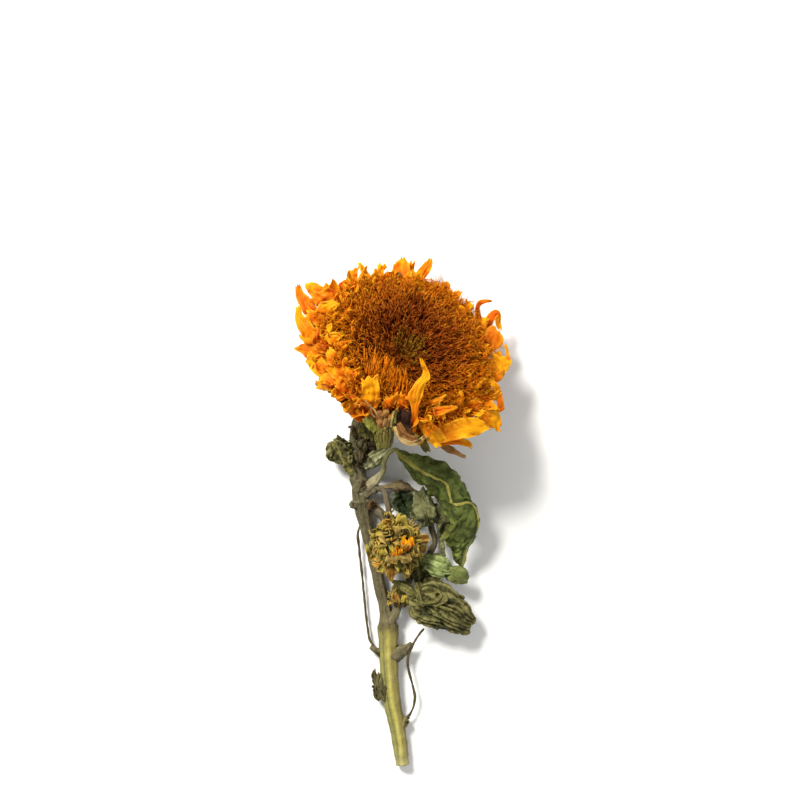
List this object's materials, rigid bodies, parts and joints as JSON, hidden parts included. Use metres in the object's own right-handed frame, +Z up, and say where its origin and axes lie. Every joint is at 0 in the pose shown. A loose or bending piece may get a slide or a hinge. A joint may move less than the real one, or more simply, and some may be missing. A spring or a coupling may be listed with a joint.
{
  "type": "dried sunflower stem",
  "caption": "Cut stem of a dried double sunflower lying on a surface: one shaggy orange bloom on a bent neck, a closed side bud and shrivelled leaves.",
  "frame": {"origin": "on the surface that the stem lies on, under the middle of its box", "axes": "+Y runs along the stem from its cut end to the bloom, +X is to the right seen from above, +Z is up"},
  "size_m": [0.0946, 0.2298, 0.0682],
  "materials": {
    "stem": "dry, fibrous, matt",
    "bracts": "papery, downy",
    "florets": "dry, shaggy",
    "petals": "papery, slightly translucent",
    "bud": "papery, matt",
    "leaf": "dry, wrinkled, matt",
    "old_leaf": "dry, wrinkled, matt"
  },
  "bodies": {
    "root": {"stem": "stem", "bloom_bracts": "bracts", "bloom_florets": "florets", "bloom_petals": "petals", "side_bud": "bud", "small_bud": "bud", "leaf_long": "leaf", "leaf_pleated": "leaf", "leaf_curl_upper": "leaf", "leaf_curl_lower": "leaf", "leaf_knot": "leaf", "leaf_shaded": "leaf", "leaf_brown": "old_leaf", "leaf_neck_right": "leaf", "leaf_neck_left": "old_leaf"}
  },
  "joints": []
}
